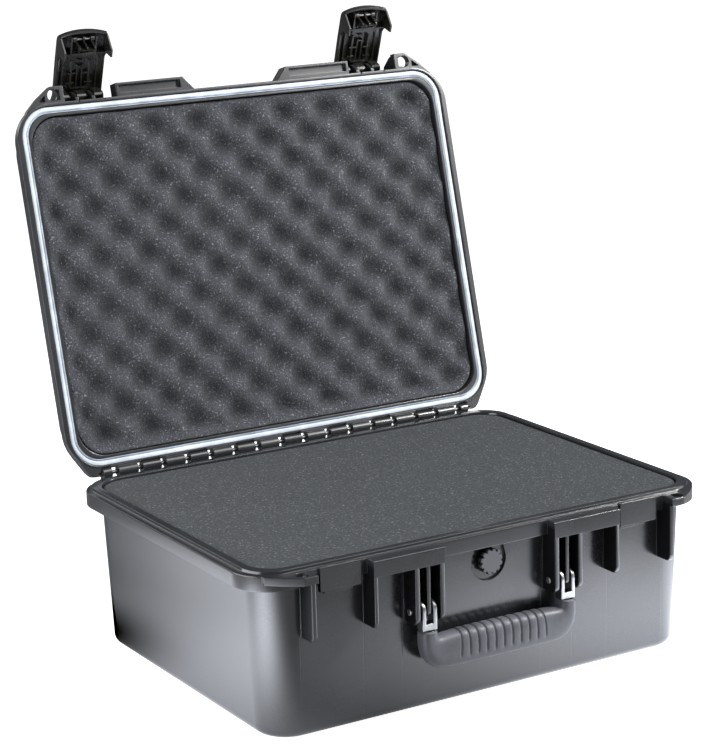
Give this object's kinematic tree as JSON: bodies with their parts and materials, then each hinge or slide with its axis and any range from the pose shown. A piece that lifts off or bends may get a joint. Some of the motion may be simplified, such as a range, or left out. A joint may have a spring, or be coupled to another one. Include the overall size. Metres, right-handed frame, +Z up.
{
  "type": "hard equipment case",
  "caption": "Hinged hard plastic equipment case with foam lining, sealing gasket, press-and-pull latches, a folding carry handle and a pressure valve, shown open.",
  "frame": {"origin": "centre of the base shell's flat underside", "axes": "+Z up, +X to the right seen from the latch side, -Y is the latch and handle side, +Y is the hinge side; the lid stands open in the rest pose"},
  "size_m": [0.488, 0.5196, 0.5759],
  "materials": {
    "shell_plastic": "satin black moulded structural plastic",
    "latch_plastic": "glossy black moulded plastic",
    "valve_plastic": "black moulded plastic",
    "base_foam": "dark grey open-cell foam, pre-scored in cubes",
    "lid_foam": "dark grey convoluted open-cell foam",
    "gasket": "pale blue-grey soft rubber",
    "seal_rubber": "black rubber",
    "grip_rubber": "matt dark grey rubber",
    "steel": "bright stainless steel",
    "membrane": "white breathable membrane"
  },
  "bodies": {
    "base": {"base_shell": "shell_plastic", "base_foam_pad": "base_foam", "base_foam_lower": "base_foam", "base_foam_upper": "base_foam", "hinge_pin_left": "steel", "hinge_pin_right": "steel", "valve_body": "valve_plastic", "valve_oring": "seal_rubber", "valve_nut": "valve_plastic", "valve_membrane": "membrane", "handle_pin_left": "steel", "handle_pin_right": "steel"},
    "valve_knob": {"valve_cap": "valve_plastic"},
    "lid": {"lid_shell": "shell_plastic", "lid_gasket": "gasket", "lid_foam": "lid_foam", "latch_left_pivot_pin": "steel", "latch_right_pivot_pin": "steel"},
    "handle": {"handle_core": "latch_plastic", "handle_grip": "grip_rubber", "handle_clip_left": "steel", "handle_clip_right": "steel"},
    "latch_left": {"latch_left_cover": "latch_plastic", "latch_left_button_pin": "steel", "latch_left_spring": "steel"},
    "button_left": {"latch_left_button": "latch_plastic"},
    "latch_right": {"latch_right_cover": "latch_plastic", "latch_right_button_pin": "steel", "latch_right_spring": "steel"},
    "button_right": {"latch_right_button": "latch_plastic"}
  },
  "joints": [
    {"name": "lid_hinge", "type": "hinge", "parent": "base", "child": "lid", "pos_m": [0, 0.1828, 0.1588], "axis": [1, 0, 0], "range_deg": [0, 104.5]},
    {"name": "handle_fold", "type": "hinge", "parent": "base", "child": "handle", "pos_m": [0, -0.1802, 0.0975], "axis": [-1, 0, 0], "range_deg": [0, 95]},
    {"name": "valve_turn", "type": "hinge", "parent": "base", "child": "valve_knob", "pos_m": [0, -0.171, 0.125], "axis": [0, 1, 0], "range_deg": [0, 180]},
    {"name": "latch_left_swing", "type": "hinge", "parent": "lid", "child": "latch_left", "pos_m": [-0.1602, 0.29819, 0.50834], "axis": [1, 0, 0], "range_deg": [-33, 57]},
    {"name": "latch_left_press", "type": "hinge", "parent": "latch_left", "child": "button_left", "pos_m": [-0.1602, 0.28421, 0.56588], "axis": [-1, 0, 0], "range_deg": [0, 6], "stiffness_Nm_per_rad": 0.05, "deforming": ["latch_left_spring"]},
    {"name": "latch_right_swing", "type": "hinge", "parent": "lid", "child": "latch_right", "pos_m": [0.1602, 0.29819, 0.50834], "axis": [1, 0, 0], "range_deg": [-33, 57]},
    {"name": "latch_right_press", "type": "hinge", "parent": "latch_right", "child": "button_right", "pos_m": [0.1602, 0.28421, 0.56588], "axis": [-1, 0, 0], "range_deg": [0, 6], "stiffness_Nm_per_rad": 0.05, "deforming": ["latch_right_spring"]}
  ]
}
